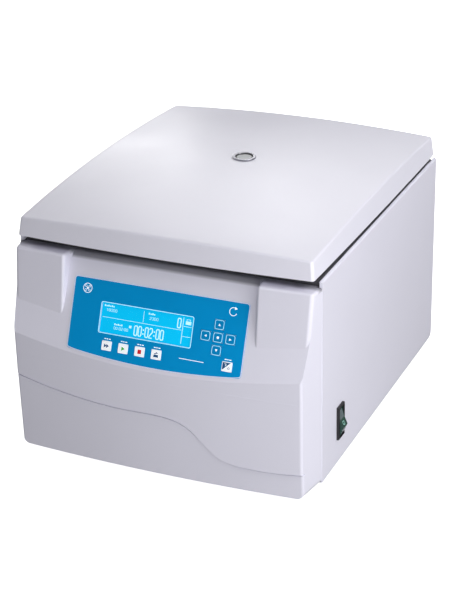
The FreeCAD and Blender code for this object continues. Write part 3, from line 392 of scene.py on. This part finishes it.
def key_centre(name):
    """Centre (x, s) of a key on the slope, in millimetres, from its box."""
    low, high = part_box(name)
    rise = (high.z - SLOPE_ZERO.z) / MM - KEY_TOP * math.sin(SLOPE_LEAN)
    return (low.x + high.x) / 2 / MM, rise / math.cos(SLOPE_LEAN) - KEY_HALF_H


# a flat shape is a list of (x, s) points and a list of faces over them
def polygon(points):
    return points, [tuple(range(len(points)))]


def rectangle(x0, x1, s0, s1):
    return polygon([(x0, s0), (x1, s0), (x1, s1), (x0, s1)])


def arc_points(x, s, radius, start, end, steps):
    points = []
    for step in range(steps + 1):
        angle = math.radians(start + (end - start) * step / steps)
        points.append((x + radius * math.cos(angle), s + radius * math.sin(angle)))
    return points


def round_corners(x0, x1, s0, s1, radius):
    """Points of a rectangle with rounded corners."""
    points = []
    corners = ((x1, s0, 270), (x1, s1, 0), (x0, s1, 90), (x0, s0, 180))
    for x, s, start in corners:
        centre_x = x - radius if x == x1 else x + radius
        centre_s = s - radius if s == s1 else s + radius
        points += arc_points(centre_x, centre_s, radius, start, start + 90, CORNER_STEPS)
    return points


def stroke(points, width, closed=False):
    """A line of one width through the points, its joints mitred."""
    count = len(points)
    verts = []
    for index, point in enumerate(points):
        here = Vector(point)
        before = Vector(points[index - 1]) if closed or index else None
        after = Vector(points[(index + 1) % count]) if closed or index < count - 1 else None
        first = (here - before).normalized() if before is not None else (after - here).normalized()
        second = (after - here).normalized() if after is not None else first
        bisector = first + second
        bisector = bisector.normalized() if bisector.length > TINY else first
        normal = Vector((-bisector.y, bisector.x))
        reach = width / 2 / max(MITRE_LIMIT, normal.dot(Vector((-second.y, second.x))))
        verts.append(tuple(here - normal * reach))
        verts.append(tuple(here + normal * reach))
    faces = []
    for index in range(count if closed else count - 1):
        following = (index + 1) % count
        faces.append((2 * index, 2 * following, 2 * following + 1, 2 * index + 1))
    return verts, faces


def circle(x, s, radius, width, steps=32):
    return stroke(arc_points(x, s, radius, 0, 360, steps)[:-1], width, True)


def disc(x, s, radius, steps=24):
    return polygon(arc_points(x, s, radius, 0, 360, steps)[:-1])


def shift(shape, dx, ds):
    points, faces = shape
    return [(x + dx, s + ds) for x, s in points], faces


def turn_quarter(shape, quarters):
    """The shape turned about its zero point, anticlockwise."""
    points, faces = shape
    cosine = math.cos(math.radians(90 * quarters))
    sine = math.sin(math.radians(90 * quarters))
    return [(x * cosine - s * sine, x * sine + s * cosine) for x, s in points], faces


def printed(name, shapes, place, height, material, body, thickness=PRINT_T):
    """A thin closed layer of flat shapes lying on a face, riding on a body."""
    verts = []
    faces = []
    for points, loops in shapes:
        start = len(verts)
        count = len(points)
        verts += [place(x, s, height + thickness) for x, s in points]
        verts += [place(x, s, height) for x, s in points]
        edges = {}
        for loop in loops:
            faces.append([start + i for i in loop])
            faces.append([start + count + i for i in reversed(loop)])
            for a, b in zip(loop, loop[1:] + loop[:1]):
                edges[(a, b)] = True
        for a, b in edges:
            if (b, a) not in edges:
                faces.append([start + b, start + a, start + count + a, start + count + b])
    mesh = bpy.data.meshes.new(name)
    mesh.from_pydata([tuple(v) for v in verts], [], faces)
    mesh.materials.append(material.material)
    made = bpy.data.objects.new(name, mesh)
    bpy.context.scene.collection.objects.link(made)
    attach(made, body)


# ---------------------------------------------------------------- digits
# strokes of each digit in a box one wide and one high, and whether the stroke closes on itself
ROUND = [(0, .14), (.22, 0), (.78, 0), (1, .14), (1, .86), (.78, 1), (.22, 1), (0, .86)]
GLYPHS = {
    "0": [(ROUND, True)],
    "1": [([(.2, .8), (.55, 1), (.55, 0)], False)],
    "2": [([(0, .82), (.22, 1), (.78, 1), (1, .86), (1, .62), (0, .14), (0, 0), (1, 0)], False)],
    "3": [([(0, 1), (1, 1), (1, .55), (.4, .55), (1, .45), (1, 0), (0, 0)], False)],
    "8": [(ROUND, True), ([(0, .5), (1, .5)], False)],
}
COLON_WIDTH = 0.5          # share of a digit's width
COLON_LEVELS = (0.3, 0.7)
COLON_DOT = 0.72           # radius of its dots over the line width


def digits(text, x, s, width, height, gap, line):
    """Shapes of a row of digits that starts at x, s; width and height are those of one digit."""
    shapes = []
    for letter in text:
        if letter == ":":
            centre = x + width * COLON_WIDTH / 2
            for level in COLON_LEVELS:
                shapes.append(disc(centre, s + height * level, line * COLON_DOT, 12))
            x += width * COLON_WIDTH + gap
            continue
        for points, closed in GLYPHS[letter]:
            shapes.append(stroke([(x + px * width, s + ps * height) for px, ps in points], line, closed))
        x += width + gap
    return shapes


# ---------------------------------------------------------------- control panel
FILM_TOP = OVERLAY_T + LIFT
RIM = 0.9                  # width of the lines round the overlay and the window
RIM_INSET = 0.1
FRAME_GAP = 0.5            # from the window's edge to the middle of its frame
FRAME_R = 2.2
RULE = [(37.0, 4.3), (71.7, 4.3)]      # a short line left of the two-tone key
RULE_W = 0.8
CAPTIONED = ("key_fast", "key_start", "key_stop", "key_lid", "key_back")
CAPTION_BARS = ((-4.2, 2.6), (-0.9, 2.0), (2.2, 2.9))     # start from the key's middle, width
CAPTION_RISE = (8.6, 9.8)  # lower and upper edge over the key's middle
ROTOR_SIGN = (-105.0, 74.0)
TURN_SIGN = (103.0, 75.0)


def overlay_outline(inset):
    """The overlay's outline, drawn in by an inset, with its bowed lower edge."""
    half = OVERLAY_HALF - inset
    top = OVERLAY_TOP - inset
    low = OVERLAY_CORNER + inset
    sag = OVERLAY_MID - OVERLAY_CORNER
    radius = OVERLAY_R - inset
    bow = 8                # degrees that the bowed edge takes from each lower corner
    points = arc_points(half - radius, top - radius, radius, 0, 90, 8)
    points += arc_points(radius - half, top - radius, radius, 90, 180, 8)
    points += arc_points(radius - half, low + radius, radius, 180, 270 - bow, 8)
    steps = 40
    for step in range(1, steps):
        x = (radius - half) + 2 * (half - radius) * step / steps
        points.append((x, low + sag * (1 - (x / half) ** 2)))
    points += arc_points(half - radius, low + radius, radius, 270 + bow, 360, 8)
    return points


def rotor_sign(x, s):
    """A rotor seen from above: rim, hub and four buckets."""
    rim, hub, reach, bucket = 6.2, 1.5, 3.7, 1.3
    shapes = [circle(x, s, rim, 0.8, 40), disc(x, s, hub)]
    for turn in range(4):
        angle = math.radians(45 + 90 * turn)
        bucket_x = x + reach * math.cos(angle)
        bucket_s = s + reach * math.sin(angle)
        shapes.append(circle(bucket_x, bucket_s, bucket, 0.55, 20))
    return shapes


def turning_arrow(x, s):
    """Most of a circle, with an arrowhead at its upper end."""
    radius = 5.2
    start, end = 60, 340
    tip_x = x + radius * math.cos(math.radians(start))
    tip_s = s + radius * math.sin(math.radians(start))
    head = [(tip_x + 2.9, tip_s - 0.5), (tip_x - 0.6, tip_s + 2.0), (tip_x - 1.2, tip_s - 2.2)]
    return [stroke(arc_points(x, s, radius, start, end, 26), 0.9), polygon(head)]


def caption_bars(key):
    """Short bars where the key is captioned."""
    x, s = key_centre(key)
    low, high = CAPTION_RISE
    return [rectangle(x + start, x + start + width, s + low, s + high) for start, width in CAPTION_BARS]


def panel_prints():
    outline = overlay_outline(RIM / 2 + RIM_INSET)
    # pale line printed round the overlay's edge: a painted highlight of that edge
    printed("overlay_rim_highlight", [stroke(outline, RIM, True)], ON_SLOPE, FILM_TOP, INKS["rim"],
            "machine")
    x0, x1, s0, s1 = WINDOW
    frame_line = round_corners(x0 - FRAME_GAP, x1 + FRAME_GAP, s0 - FRAME_GAP, s1 + FRAME_GAP, FRAME_R)
    printed("window_frame", [stroke(frame_line, RIM, True)], ON_SLOPE, FILM_TOP, INKS["pale_blue"],
            "machine")
    shapes = [stroke(RULE, RULE_W)]
    for key in CAPTIONED:
        shapes += caption_bars(key)
    shapes += rotor_sign(*ROTOR_SIGN)
    shapes += turning_arrow(*TURN_SIGN)
    printed("panel_print", shapes, ON_SLOPE, FILM_TOP, INKS["white"], "machine")


# ---------------------------------------------------------------- display
READINGS = (
    # text, x, s, digit width, digit height, gap, line width
    ("00:02:00", -31.5, 22.9, 4.2, 12.6, 1.75, 1.35),
    ("0", 28.2, 42.7, 4.4, 12.2, 0, 1.35),
    ("18000", -74.6, 48.4, 2.3, 3.3, 0.9, 0.42),
    ("2300", -11.6, 46.6, 2.3, 3.3, 0.9, 0.42),
    ("00:02:00", -61.0, 26.2, 2.1, 3.3, 0.8, 0.42),
)
TICK_ROWS = ((-78.0, 54.3, 6), (-14.0, 53.0, 4), (-61.0, 31.6, 5))     # x, s, count
TICK_STEP = 2.5
TICK_W = 1.8
TICK_H = 2.3
TICK_SHORTER = 0.8         # every second tick is this much shorter
THIN = 0.55                # line widths
THICK = 0.8
ROW = 40.2                 # height of the rule between the two rows
FIELD = -20.6              # rule between the upper fields
STATUS = 35.8              # rule left of the status column
STATUS_ROWS = (45.6, 32.6)
PADLOCK = (39.4, 47.0, 48.2, 52.6)
SHACKLE = [(40.6, 53.0), (40.6, 54.9), (45.6, 54.9), (45.6, 53.0)]
CLOCK_SIGN = (-39.4, -36.0, 31.0, 34.4)
FACE_INSET = 0.3


def caption_ticks(x, s, count):
    """Short ticks that stand for a caption in the display."""
    shapes = []
    for tick in range(count):
        left = x + tick * TICK_STEP
        shapes.append(rectangle(left, left + TICK_W, s, s + TICK_H - TICK_SHORTER * (tick % 2)))
    return shapes


def display_rules():
    """The lines that part the display's fields, stopping short of the window's edges."""
    x0, x1, s0, s1 = WINDOW
    rules = [
        stroke([(x0 + 2.5, ROW), (STATUS - 1.2, ROW)], THIN),
        stroke([(FIELD, ROW + 1.2), (FIELD, s1 - 3.0)], THIN),
        stroke([(STATUS, s0 + 3.0), (STATUS, s1 - 2.5)], THICK),
    ]
    for s in STATUS_ROWS:
        rules.append(stroke([(STATUS + 1.2, s), (x1 - 1.6, s)], THIN))
    return rules


def display_marks():
    """The display's lit face and its readings, just above the module inside the window."""
    x0, x1, s0, s1 = WINDOW
    level = OVERLAY_T - WINDOW_T + LIFT
    face = rectangle(x0 + FACE_INSET, x1 - FACE_INSET, s0 + FACE_INSET, s1 - FACE_INSET)
    printed("display_face", [face], ON_SLOPE, level, MATERIALS["display_blue"], "machine")
    shapes = display_rules() + [rectangle(*PADLOCK), stroke(SHACKLE, THIN)]
    for reading in READINGS:
        shapes += digits(*reading)
    shapes.append(rectangle(*CLOCK_SIGN))
    for row in TICK_ROWS:
        shapes += caption_ticks(*row)
    printed("display_marks", shapes, ON_SLOPE, level + PRINT_T + LIFT, INKS["lcd"], "machine")


# ---------------------------------------------------------------- keys
KEY_MARKS = KEY_TOP + LIFT
OUTLINE_HALF = (6.0, 5.7)
OUTLINE_R = 2.4
OUTLINE_W = 0.65
TURNS = {"key_up": 0, "key_left": 1, "key_down": 2, "key_right": 3}      # quarter turns of the arrow


def mark(key, suffix, shapes, colour):
    """Print shapes drawn about a key's middle; they ride on the key."""
    x, s = key_centre(key)
    moved = [shift(shape, x, s) for shape in shapes]
    printed(key + suffix, moved, ON_SLOPE, KEY_MARKS, INKS[colour], key + "_body")


def light_key_marks():
    """Symbols of the keys below the display."""
    wedge = polygon([(-2.9, -2.9), (0.8, 0.0), (-2.9, 2.9)])
    mark("key_fast", "_icon", [shift(wedge, -0.6, 0), shift(wedge, 2.9, 0)], "navy")
    mark("key_start", "_icon", [polygon([(-2.0, -3.0), (3.0, 0.0), (-2.0, 3.0)])], "green")
    mark("key_stop", "_icon", [rectangle(-2.6, 2.6, -2.8, 2.8)], "red")
    case = polygon([(-3.6, -3.2), (3.6, -3.2), (3.0, 0.2), (-3.0, 0.2)])
    cover = stroke([(-3.0, 1.1), (2.9, 2.9)], 1.0)
    handle = stroke([(-0.5, 3.0), (0.6, 3.6)], 0.9)
    mark("key_lid", "_icon", [case, cover, handle], "navy")


def cross_key_marks():
    """Arrows and outlines of the five keys in a cross."""
    arrow = polygon([(-1.7, -1.6), (1.7, -1.6), (0.0, 1.7)])
    for key, quarters in TURNS.items():
        mark(key, "_icon", [turn_quarter(arrow, quarters)], "white")
    mark("key_set", "_icon", [disc(0, 0, 1.7)], "white")
    half_x, half_s = OUTLINE_HALF
    outline = stroke(round_corners(-half_x, half_x, -half_s, half_s, OUTLINE_R), OUTLINE_W, True)
    for key in (*TURNS, "key_set"):
        mark(key, "_outline", [outline], "pale_blue")


def back_key_marks():
    """The two-tone key: a dark half with a bent line on it, and a ring on the light half."""
    mark("key_back", "_half", [polygon([(-6.1, -4.6), (-6.1, 5.5), (5.0, 5.5)])], "navy")
    x, s = key_centre("key_back")
    bend = stroke(arc_points(x - 2.6, s + 2.4, 1.4, -80, 120, 10), 0.7)
    printed("key_back_arrow", [bend], ON_SLOPE, KEY_MARKS + PRINT_T + LIFT, INKS["white"],
            "key_back_body")
    mark("key_back", "_icon", [circle(2.7, -1.7, 1.3, 0.6, 20)], "navy")


# ---------------------------------------------------------------- mains rocker
ROCKER_HALF = 8.7
ROCKER_PIVOT = 18.5        # height of its pivot over its lowest point
# lower and upper end of each facet: x in the frame, z from the pivot
ROCKER_FACETS = {"lens": ((219.2, 2.5), (215.5, 18.5)), "off": ((223.5, -7.0), (219.2, 2.5))}
LENS_MARGINS = (2.0, 1.8, 2.2)         # at the sides, below and above
LENS_R = 1.4
LENS_T = 0.18
OFF_MARK_R = 2.5


def rocker_place(facet):
    """Placement on one facet of the rocker: x along its width, s up the facet."""
    low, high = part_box("switch_rocker")
    pivot_z = low.z / MM + ROCKER_PIVOT
    (x0, z0), (x1, z1) = ROCKER_FACETS[facet]
    up = Vector((x1 - x0, 0, z1 - z0)).normalized()
    out = Vector((up.z, 0, -up.x))
    middle = Vector(((x0 + x1) / 2, (low.y + high.y) / 2 / MM, pivot_z + (z0 + z1) / 2)) * MM
    return face_place(middle, Vector((0, 1, 0)), up, out), math.hypot(x1 - x0, z1 - z0) / 2


def rocker_marks():
    place, half = rocker_place("lens")
    side, below, above = LENS_MARGINS
    reach = ROCKER_HALF - side
    lens = polygon(round_corners(-reach, reach, below - half, half - above, LENS_R))
    printed("rocker_lens", [lens], place, LIFT, INKS["lens"], "rocker", LENS_T)
    place, half = rocker_place("off")
    ring = circle(0.0, 0.2, OFF_MARK_R, 0.9)
    printed("rocker_off_mark", [ring], place, LIFT, INKS["mint"], "rocker")


# ---------------------------------------------------------------- rotor
YOKE_MARK_REACH = 0.062    # distance of the dots from the spindle, metres
DOT_R = 0.9
DOT_STEP = 3.0


def rotor_marks():
    """One to four dots on top of the yoke's arms, between the bucket places."""
    low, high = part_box("rotor_yoke")
    for turn in range(4):
        angle = math.radians(45 + 90 * turn)
        across = Vector((-math.sin(angle), math.cos(angle), 0))
        outward = Vector((math.cos(angle), math.sin(angle), 0))
        zero = Vector((SPINDLE.x, SPINDLE.y, high.z)) + outward * YOKE_MARK_REACH
        place = face_place(zero, -across, outward, Vector((0, 0, 1)))
        dots = [disc(DOT_STEP * (index - turn / 2), 0.0, DOT_R, 16) for index in range(turn + 1)]
        printed("yoke_mark_" + str(turn + 1), dots, place, LIFT, INKS["white"], "rotor")


# ---------------------------------------------------------------- viewing port
SHADE_RING_W = 1.5
SHADE_RING_T = 0.5
SHADE_RING_INSET = 0.1


def port_shade_ring():
    """Painted shade: a dark ring on the edge of the port's glass, inside the bright collar, where the
    collar's inner bevel lies in shade.
    """
    low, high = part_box("port_glass")
    radius = (high.x - low.x) / 2 / MM
    zero = Vector((0.0, SPINDLE.y, high.z))
    place = face_place(zero, Vector((1, 0, 0)), Vector((0, 1, 0)), Vector((0, 0, 1)))
    ring = circle(0.0, 0.0, radius - SHADE_RING_W / 2 - SHADE_RING_INSET, SHADE_RING_W, 64)
    printed("port_shade_ring", [ring], place, LIFT, MATERIALS["rubber_black"], "lid", SHADE_RING_T)


# ---------------------------------------------------------------- stage
ROOM = 14.0                # half-width of the studio floor
WALL = 0.98                # radius of the wall over that half-width
WALL_STEPS = 48
ROOM_HEIGHT = 12.0
PAPER = (0.90, 0.90, 0.91)
PAPER_GLOW = 0.93
BOUNCE_DROP = 0.002        # depth of the lighting sheet below the floor
BOUNCE_GLOW = 0.275
WORLD_GLOW = 0.12
MIDDLE = (0.0, 0.0, 0.2)
LAMPS = (
    # name, place, aim, size, watts
    ("top_front", (0.6, -1.1, 1.9), MIDDLE, 1.0, 6.8),
    ("top_right", (1.5, -0.2, 1.7), MIDDLE, 1.1, 24.6),
    ("right", (1.9, -0.2, 0.9), MIDDLE, 1.2, 3.7),
    ("low_right", (1.2, -0.9, 0.1), (0.1, -0.2, 0.1), 0.6, 6.7),
    ("low_front", (0.6, -1.3, 0.1), (0.0, -0.2, 0.15), 0.6, 6.7),
    ("rear", (-0.3, 2.0, 1.5), (0.0, 0.0, 0.3), 1.0, 7.5),
    ("rear_left", (-1.5, 1.2, 1.2), MIDDLE, 1.0, 2.3),
    # centred below the lid's top: with the lid shut they light little but the back and the left side
    ("back_fill", (0.2, 2.2, 0.18), (0.0, 0.26, 0.18), 0.4, 18.0),
    ("left_fill", (-2.0, 0.3, 0.18), (-0.2, 0.0, 0.18), 0.4, 11.0),
    # two small lamps behind the machine put the soft bright patches on the lid's dome
    ("lid_gloss_left", (-1.13, 1.75, 0.92), (-0.15, 0.05, 0.34), 0.4, 2.6),
    ("lid_gloss_middle", (-0.75, 1.6, 1.3), (-0.02, 0.0, 0.34), 0.5, 2.57),
)


def make_paper(name, verts, faces, albedo, glow):
    """A plain glowing sheet of the studio."""
    mesh = bpy.data.meshes.new(name)
    mesh.from_pydata(verts, [], faces)
    made = bpy.data.objects.new(name, mesh)
    bpy.context.scene.collection.objects.link(made)
    paper = Shader(name + "_paper", albedo, roughness=0.85)
    paper.mottle(amount=0.004, scale=1.2)
    paper.put("Emission Color", (1.0, 1.0, 1.0, 1.0))
    paper.put("Emission Strength", glow)
    mesh.materials.append(paper.material)
    return made


def make_sheet(name, level, albedo, glow):
    corners = [(-ROOM, -ROOM, level), (ROOM, -ROOM, level), (ROOM, ROOM, level), (-ROOM, ROOM, level)]
    return make_paper(name, corners, [(0, 1, 2, 3)], albedo, glow)


def make_wall(name):
    """The round wall behind the floor, seen only from low angles."""
    ring = arc_points(0, 0, ROOM * WALL, 0, 360, WALL_STEPS)[:-1]
    verts = [(x, y, 0.0) for x, y in ring] + [(x, y, ROOM_HEIGHT) for x, y in ring]
    faces = []
    for here in range(WALL_STEPS):
        following = (here + 1) % WALL_STEPS
        faces.append((here, following, WALL_STEPS + following, WALL_STEPS + here))
    return make_paper(name, verts, faces, PAPER, PAPER_GLOW)


def make_studio():
    """The white studio that is seen, and under it the dimmer sheet that lights the machine from below."""
    for seen in (make_sheet("floor", 0.0, PAPER, PAPER_GLOW), make_wall("backdrop")):
        seen.visible_diffuse = False
        seen.visible_glossy = False
        seen.visible_transmission = False
        seen.visible_shadow = False
    make_sheet("floor_bounce", -BOUNCE_DROP, (0.0, 0.0, 0.0), BOUNCE_GLOW)


def area_light(name, location, target, size, energy):
    light = bpy.data.lights.new(name, "AREA")
    light.energy = energy
    light.size = size
    made = bpy.data.objects.new(name, light)
    bpy.context.scene.collection.objects.link(made)
    made.location = location
    made.rotation_euler = (Vector(target) - Vector(location)).to_track_quat("-Z", "Y").to_euler()


def make_lights():
    world = bpy.data.worlds.new("studio")
    bpy.context.scene.world = world
    world.use_nodes = True
    background = world.node_tree.nodes["Background"]
    background.inputs["Color"].default_value = (1.0, 1.0, 1.0, 1.0)
    background.inputs["Strength"].default_value = WORLD_GLOW
    for lamp in LAMPS:
        area_light(*lamp)


# ---------------------------------------------------------------- camera
CAMERA_PLACE = (0.915, -2.050, 1.2066)
CAMERA_AZIMUTH = math.radians(24.34)   # from straight in front of the machine, towards +X
CAMERA_ELEVATION = math.radians(25.21)
CAMERA_ROLL = math.radians(-1.413)
SENSOR_HEIGHT = 36         # mm
FOCAL_LENGTH = 104.715     # mm
CLIP_END = 50


def make_camera():
    flat = math.cos(CAMERA_ELEVATION)
    back = Vector((math.sin(CAMERA_AZIMUTH) * flat, -math.cos(CAMERA_AZIMUTH) * flat,
                   math.sin(CAMERA_ELEVATION)))
    level = Vector((math.cos(CAMERA_AZIMUTH), math.sin(CAMERA_AZIMUTH), 0))
    upward = back.cross(level)
    right = level * math.cos(CAMERA_ROLL) + upward * math.sin(CAMERA_ROLL)
    up = upward * math.cos(CAMERA_ROLL) - level * math.sin(CAMERA_ROLL)
    camera = bpy.data.cameras.new("camera")
    camera.sensor_fit = "VERTICAL"
    camera.sensor_height = SENSOR_HEIGHT
    camera.lens = FOCAL_LENGTH
    camera.clip_end = CLIP_END
    made = bpy.data.objects.new("camera", camera)
    bpy.context.scene.collection.objects.link(made)
    axes = Matrix((right, up, back)).transposed().to_4x4()
    made.matrix_world = Matrix.Translation(CAMERA_PLACE) @ axes
    bpy.context.scene.camera = made


make_camera()
dress_cad()
panel_prints()
display_marks()
light_key_marks()
cross_key_marks()
back_key_marks()
rocker_marks()
rotor_marks()
port_shade_ring()
make_studio()
make_lights()
bpy.context.scene.view_settings.view_transform = "Standard"
